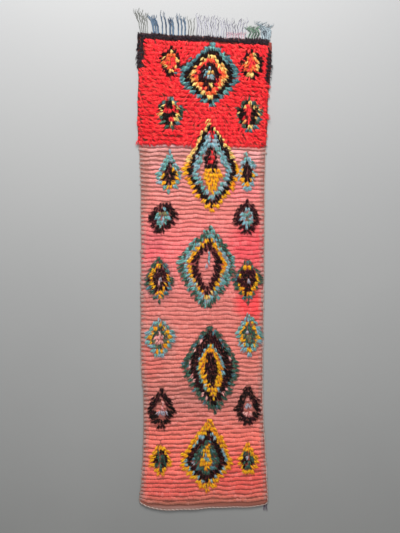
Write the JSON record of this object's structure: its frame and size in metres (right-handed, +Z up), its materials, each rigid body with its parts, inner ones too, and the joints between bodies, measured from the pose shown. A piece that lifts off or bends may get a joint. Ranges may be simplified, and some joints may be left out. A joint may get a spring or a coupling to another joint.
{
  "type": "boucherouite rug",
  "caption": "Long flat runner rug of ribbed rag weave with raised knotted lozenges, a deep pile end and a yarn fringe.",
  "frame": {"origin": "on the floor, under the middle of the whole rug's outline, fringe included", "axes": "+Y along the rug to its pile and fringe end, +X to the right seen from above, +Z up out of the pile"},
  "size_m": [0.8213, 3.0204, 0.02],
  "materials": {
    "rug_cloth": "matt wool and cotton rag",
    "head_fringe": "matt twisted cotton warp",
    "foot_threads": "matt twisted cotton warp",
    "red_pile": "matt knotted wool pile",
    "dark_pile": "matt knotted wool pile",
    "salmon_weft": "matt thick rag weft",
    "ground_weave": "matt fine wool weave",
    "teal_yarn": "matt knotted yarn",
    "light_blue_yarn": "matt knotted yarn",
    "sea_green_yarn": "matt knotted yarn",
    "golden_yarn": "matt knotted yarn",
    "cream_yarn": "matt knotted yarn",
    "orange_red_yarn": "matt knotted yarn",
    "dark_green_yarn": "matt knotted yarn",
    "maroon_yarn": "matt knotted yarn",
    "pink_yarn": "matt knotted yarn",
    "mauve_yarn": "matt knotted yarn",
    "pale_warp": "matt twisted cotton warp",
    "blue_warp": "matt twisted cotton warp"
  },
  "bodies": {
    "root": {"rug_cloth": "rug_cloth", "head_fringe": "head_fringe", "foot_threads": "foot_threads"}
  },
  "joints": []
}
